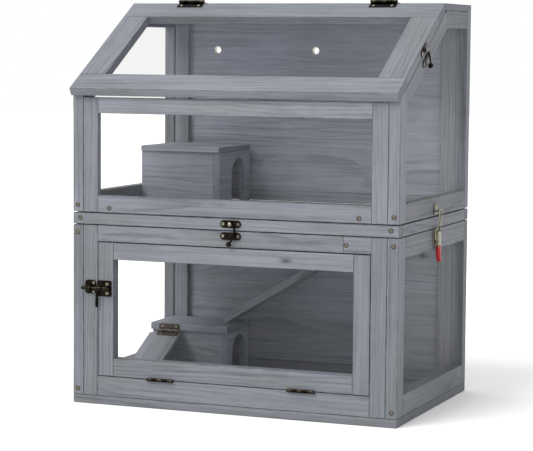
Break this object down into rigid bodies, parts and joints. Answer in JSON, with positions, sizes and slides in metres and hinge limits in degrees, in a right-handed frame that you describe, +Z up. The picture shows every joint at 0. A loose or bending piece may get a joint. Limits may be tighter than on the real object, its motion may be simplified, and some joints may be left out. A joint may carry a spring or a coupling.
{
  "type": "hamster cage",
  "caption": "Two-storey wooden small-pet cage with clear panes, sloped lift-up lid, drop-down front door, hide houses and ramps, held together with hooks and toggle latches.",
  "frame": {"origin": "centre of the base board's underside, on the surface the cage stands on", "axes": "+Z up, +X to the right seen from the front, -Y towards the front door"},
  "size_m": [0.6254, 0.4235, 0.7119],
  "materials": {
    "painted_wood": "matt grey stain",
    "clear_acrylic": "clear, gloss",
    "black_hardware": "black bronze, satin",
    "bronze_hinge": "brown bronze, satin",
    "zinc_toggle": "yellow-silver zinc plate"
  },
  "bodies": {
    "lower_storey": {"base_board": "painted_wood", "lower_front_frame": "painted_wood", "lower_side_frame_right": "painted_wood", "lower_side_frame_left": "painted_wood", "lower_side_pane_right": "clear_acrylic", "lower_side_pane_left": "clear_acrylic", "lower_back_wall": "painted_wood", "bolt_keeper": "black_hardware", "front_catch_plate": "black_hardware", "toggle_base_right": "zinc_toggle", "toggle_base_left": "zinc_toggle", "door_hinge_fixed_left": "black_hardware", "door_hinge_fixed_right": "black_hardware", "hide_roof": "painted_wood", "hide_front_wall": "painted_wood", "hide_arch_wall": "painted_wood", "hide_hinge_fixed": "bronze_hinge", "long_ramp": "painted_wood", "rear_hinge_fixed_left": "black_hardware", "rear_hinge_fixed_right": "black_hardware"},
    "front_door": {"door_frame": "painted_wood", "door_pane": "clear_acrylic", "door_hinge_leaf_left": "black_hardware", "door_hinge_leaf_right": "black_hardware", "bolt_plate": "black_hardware"},
    "door_bolt": {"bolt_rod": "black_hardware"},
    "ring_floor": {"ring_frame": "painted_wood", "upper_floor": "painted_wood", "front_hook_plate": "black_hardware", "rear_hinge_leaf_left": "black_hardware", "rear_hinge_leaf_right": "black_hardware", "upper_hide_roof": "painted_wood", "upper_hide_walls": "painted_wood"},
    "front_hook": {"front_hook": "black_hardware"},
    "upper_storey": {"upper_front_frame": "painted_wood", "upper_front_pane": "clear_acrylic", "upper_side_frame_right": "painted_wood", "upper_side_frame_left": "painted_wood", "upper_side_pane_right": "clear_acrylic", "upper_side_pane_left": "clear_acrylic", "upper_back_wall": "painted_wood", "top_board": "painted_wood", "top_cross_rail": "painted_wood", "lid_hinge_fixed_left": "black_hardware", "lid_hinge_fixed_right": "black_hardware", "toggle_keeper_right": "zinc_toggle", "toggle_keeper_left": "zinc_toggle", "lid_catch_plate": "black_hardware"},
    "lid": {"lid_frame": "painted_wood", "lid_pane": "clear_acrylic", "lid_hinge_leaf_left": "black_hardware", "lid_hinge_leaf_right": "black_hardware", "lid_hook_plate": "black_hardware"},
    "lid_hook": {"lid_hook": "black_hardware"},
    "toggle_lever_right": {"toggle_lever_right": "zinc_toggle"},
    "toggle_bail_right": {"toggle_bail_right": "zinc_toggle"},
    "toggle_lever_left": {"toggle_lever_left": "zinc_toggle"},
    "toggle_bail_left": {"toggle_bail_left": "zinc_toggle"},
    "hide_ramp": {"hide_ramp": "painted_wood", "hide_hinge_leaf": "bronze_hinge"}
  },
  "joints": [
    {"name": "door_hinge", "type": "hinge", "parent": "lower_storey", "child": "front_door", "pos_m": [0, -0.2044, 0.0504], "axis": [1, 0, 0], "range_deg": [0, 100]},
    {"name": "bolt_slide", "type": "slide", "parent": "front_door", "child": "door_bolt", "axis": [1, 0, 0], "range_m": [0, 0.028]},
    {"name": "ring_hinge", "type": "hinge", "parent": "lower_storey", "child": "ring_floor", "pos_m": [0, 0.2042, 0.31615], "axis": [-1, 0, 0], "range_deg": [0, 80]},
    {"name": "front_hook_pivot", "type": "hinge", "parent": "ring_floor", "child": "front_hook", "pos_m": [0, -0.2049, 0.3276], "axis": [0, -1, 0], "range_deg": [0, 110]},
    {"name": "upper_lift_off", "type": "slide", "parent": "ring_floor", "child": "upper_storey", "axis": [0, 0, 1], "range_m": [0, 0.3]},
    {"name": "lid_hinge", "type": "hinge", "parent": "upper_storey", "child": "lid", "pos_m": [0, 0.03963, 0.7089], "axis": [-1, 0, 0], "range_deg": [0, 200]},
    {"name": "lid_hook_pivot", "type": "hinge", "parent": "lid", "child": "lid_hook", "pos_m": [0.3039, -0.081, 0.62513], "axis": [1, 0, 0], "range_deg": [0, 110]},
    {"name": "toggle_right", "type": "hinge", "parent": "lower_storey", "child": "toggle_lever_right", "pos_m": [0.3065, -0.003, 0.309], "axis": [0, -1, 0], "range_deg": [0, 150]},
    {"name": "bail_right", "type": "hinge", "parent": "toggle_lever_right", "child": "toggle_bail_right", "pos_m": [0.3045, -0.003, 0.298], "axis": [0, -1, 0], "range_deg": [-150, 0]},
    {"name": "toggle_left", "type": "hinge", "parent": "lower_storey", "child": "toggle_lever_left", "pos_m": [-0.3065, -0.003, 0.309], "axis": [0, 1, 0], "range_deg": [0, 150]},
    {"name": "bail_left", "type": "hinge", "parent": "toggle_lever_left", "child": "toggle_bail_left", "pos_m": [-0.3045, -0.003, 0.298], "axis": [0, 1, 0], "range_deg": [-150, 0]},
    {"name": "hide_ramp_hinge", "type": "hinge", "parent": "lower_storey", "child": "hide_ramp", "pos_m": [0, 0.0735, 0.0946], "axis": [-1, 0, 0], "range_deg": [0, 110]}
  ],
  "couplings": [
    {"joint": "bail_right", "follows": "toggle_right", "ratio": -1},
    {"joint": "bail_left", "follows": "toggle_left", "ratio": -1}
  ]
}
